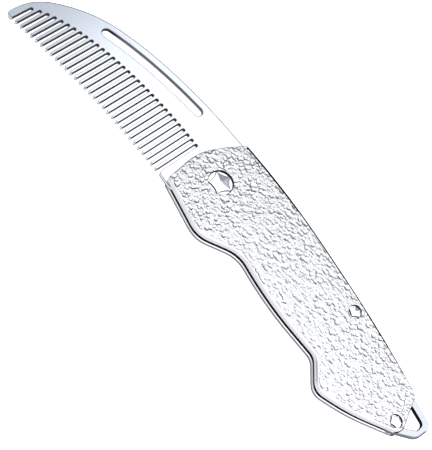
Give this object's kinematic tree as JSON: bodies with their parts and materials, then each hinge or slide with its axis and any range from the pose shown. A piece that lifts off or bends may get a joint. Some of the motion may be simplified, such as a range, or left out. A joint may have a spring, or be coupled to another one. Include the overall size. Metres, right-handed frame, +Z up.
{
  "type": "folding comb",
  "caption": "Steel pocket comb that folds like a knife: a curved comb with a thumb slot swings on a pivot into a slim cast handle with a finger groove and a lanyard loop.",
  "frame": {"origin": "on the pivot's axis, in the flat back face that the closed or open comb lies on", "axes": "+X along the handle from the pivot to the lanyard loop, +Y to the spine, +Z up through the front scale; the comb is open, its tip toward -X and its teeth toward -Y"},
  "size_m": [0.1695, 0.0398, 0.0048],
  "materials": {
    "comb_steel": "satin stainless steel, lightly brushed",
    "cast_scale": "bright cast steel with a hammered, pebbled face and a smooth rim",
    "polished_steel": "polished stainless steel"
  },
  "bodies": {
    "handle": {"front_scale": "cast_scale", "back_scale": "cast_scale", "spacer_with_loop": "polished_steel", "pivot_barrel": "polished_steel", "pivot_star_bolt": "polished_steel", "spine_star_screw": "polished_steel", "butt_star_screw": "polished_steel"},
    "comb": {"comb": "comb_steel"}
  },
  "joints": [
    {"name": "comb_pivot", "type": "hinge", "parent": "handle", "child": "comb", "pos_m": [0, 0, 0.0024], "axis": [0, 0, 1], "range_deg": [0, 168]}
  ]
}
